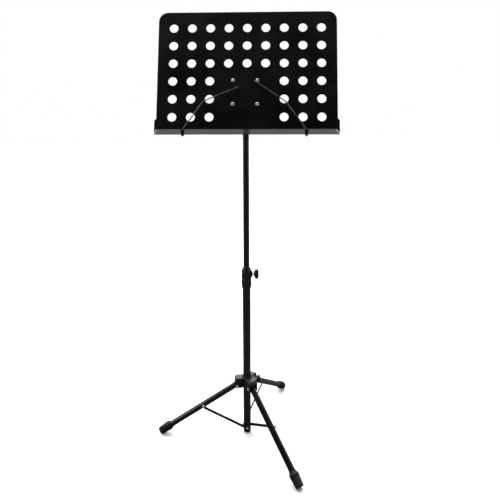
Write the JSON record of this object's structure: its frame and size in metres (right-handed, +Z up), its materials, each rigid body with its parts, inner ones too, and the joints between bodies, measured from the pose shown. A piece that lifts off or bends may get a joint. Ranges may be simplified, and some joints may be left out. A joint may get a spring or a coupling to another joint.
{
  "type": "music stand",
  "caption": "Folding music stand: perforated sheet steel desk with shelf and wire page holders on a height-adjustable two-tube column and a folding tripod base.",
  "frame": {"origin": "floor point under the column axis, with the stand on its three boots", "axes": "+Z up along the column; the desk faces -Y; +X to the right of someone who reads from it"},
  "size_m": [0.5552, 0.5313, 1.3153],
  "materials": {
    "tube_paint": "satin black powder coat",
    "desk_paint": "fine textured black powder coat",
    "black_moulding": "moulded black nylon",
    "knob_plastic": "smooth black plastic",
    "boot_rubber": "matt black rubber",
    "bright_steel": "zinc plated",
    "holder_wire": "dark spring steel",
    "white_nylon": "natural nylon",
    "insert_brass": "turned"
  },
  "bodies": {
    "base": {"lower_tube": "tube_paint", "base_plug": "black_moulding", "brace_rivets_lower": "bright_steel", "height_collar": "black_moulding", "guide_bush": "white_nylon", "collar_insert": "insert_brass"},
    "height_knob": {"height_knob_grip": "knob_plastic", "height_knob_screw": "bright_steel"},
    "mast": {"mast": "tube_paint", "mast_glide": "white_nylon"},
    "neck": {"neck": "black_moulding", "neck_insert": "insert_brass"},
    "neck_knob": {"neck_knob_grip": "knob_plastic", "neck_knob_screw": "bright_steel"},
    "desk": {"desk_bracket": "desk_paint", "tilt_bolt": "bright_steel", "tilt_washers": "white_nylon", "desk_panel": "desk_paint", "desk_shelf": "desk_paint", "bracket_screws": "bright_steel", "bracket_nuts": "bright_steel", "holder_bush_left": "knob_plastic", "holder_bush_right": "knob_plastic"},
    "tilt_knob": {"tilt_knob_grip": "knob_plastic", "tilt_knob_insert": "insert_brass"},
    "holder_left": {"holder_left": "holder_wire", "holder_cap_left": "knob_plastic"},
    "holder_right": {"holder_right": "holder_wire", "holder_cap_right": "knob_plastic"},
    "hub": {"hub": "black_moulding", "hub_insert": "insert_brass", "leg_rivets": "bright_steel"},
    "hub_knob": {"hub_knob_grip": "knob_plastic", "hub_knob_screw": "bright_steel"},
    "leg_left": {"leg_left": "tube_paint", "leg_bush_left": "white_nylon", "boot_left": "boot_rubber"},
    "brace_left": {"brace_left": "tube_paint", "brace_rivet_left": "bright_steel", "brace_spacer_left": "bright_steel"},
    "leg_front": {"leg_front": "tube_paint", "leg_bush_front": "white_nylon", "boot_front": "boot_rubber"},
    "brace_front": {"brace_front": "tube_paint", "brace_rivet_front": "bright_steel", "brace_spacer_front": "bright_steel"},
    "leg_rear": {"leg_rear": "tube_paint", "leg_bush_rear": "white_nylon", "boot_rear": "boot_rubber"},
    "brace_rear": {"brace_rear": "tube_paint", "brace_rivet_rear": "bright_steel", "brace_spacer_rear": "bright_steel"}
  },
  "joints": [
    {"name": "hub_slide", "type": "slide", "parent": "base", "child": "hub", "axis": [0, 0, 1], "range_m": [0, 0.14074]},
    {"name": "height_slide", "type": "slide", "parent": "base", "child": "mast", "axis": [0, 0, 1], "range_m": [-0.35, 0.08]},
    {"name": "desk_swivel", "type": "hinge", "parent": "mast", "child": "neck", "pos_m": [0, 0, 1.022], "axis": [0, 0, 1], "continuous": true},
    {"name": "desk_tilt", "type": "hinge", "parent": "neck", "child": "desk", "pos_m": [0, 0, 1.089], "axis": [-1, 0, 0], "range_deg": [-25, 68.5]},
    {"name": "holder_left_swing", "type": "hinge", "parent": "desk", "child": "holder_left", "pos_m": [-0.162, -0.09834, 1.00306], "axis": [0, -0.3665, -0.9304], "range_deg": [0, 100]},
    {"name": "holder_right_swing", "type": "hinge", "parent": "desk", "child": "holder_right", "pos_m": [0.162, -0.09834, 1.00306], "axis": [0, 0.3665, 0.9304], "range_deg": [0, 100]},
    {"name": "height_knob_turn", "type": "hinge", "parent": "base", "child": "height_knob", "pos_m": [0, 0, 0.5765], "axis": [1, 0, 0], "continuous": true},
    {"name": "neck_knob_turn", "type": "hinge", "parent": "neck", "child": "neck_knob", "pos_m": [0, 0, 1.036], "axis": [0, 1, 0], "continuous": true},
    {"name": "tilt_knob_turn", "type": "hinge", "parent": "desk", "child": "tilt_knob", "pos_m": [0, 0, 1.089], "axis": [1, 0, 0], "continuous": true},
    {"name": "hub_knob_turn", "type": "hinge", "parent": "hub", "child": "hub_knob", "pos_m": [0, 0, 0.2052], "axis": [0.9983, 0.0576, 0], "continuous": true},
    {"name": "leg_left_fold", "type": "hinge", "parent": "hub", "child": "leg_left", "pos_m": [-0.03245, -0.00187, 0.18821], "axis": [0.0576, -0.9983, 0], "range_deg": [0, 55.82]},
    {"name": "brace_left_fold", "type": "hinge", "parent": "base", "child": "brace_left", "pos_m": [0, 0, 0.022], "axis": [-0.0576, 0.9983, 0], "range_deg": [0, 48.1]},
    {"name": "leg_front_fold", "type": "hinge", "parent": "hub", "child": "leg_front", "pos_m": [0.01784, -0.02716, 0.18821], "axis": [0.8358, 0.549, 0], "range_deg": [0, 55.82]},
    {"name": "brace_front_fold", "type": "hinge", "parent": "base", "child": "brace_front", "pos_m": [0, 0, 0.022], "axis": [-0.8358, -0.549, 0], "range_deg": [0, 48.1]},
    {"name": "leg_rear_fold", "type": "hinge", "parent": "hub", "child": "leg_rear", "pos_m": [0.0146, 0.02903, 0.18821], "axis": [-0.8934, 0.4493, 0], "range_deg": [0, 55.82]},
    {"name": "brace_rear_fold", "type": "hinge", "parent": "base", "child": "brace_rear", "pos_m": [0, 0, 0.022], "axis": [0.8934, -0.4493, 0], "range_deg": [0, 48.1]}
  ],
  "couplings": [
    {"joint": "leg_left_fold", "follows": "hub_slide", "rad_per_m": 6.9198},
    {"joint": "brace_left_fold", "follows": "hub_slide", "rad_per_m": 5.9624},
    {"joint": "leg_front_fold", "follows": "hub_slide", "rad_per_m": 6.9198},
    {"joint": "brace_front_fold", "follows": "hub_slide", "rad_per_m": 5.9624},
    {"joint": "leg_rear_fold", "follows": "hub_slide", "rad_per_m": 6.9198},
    {"joint": "brace_rear_fold", "follows": "hub_slide", "rad_per_m": 5.9624}
  ]
}
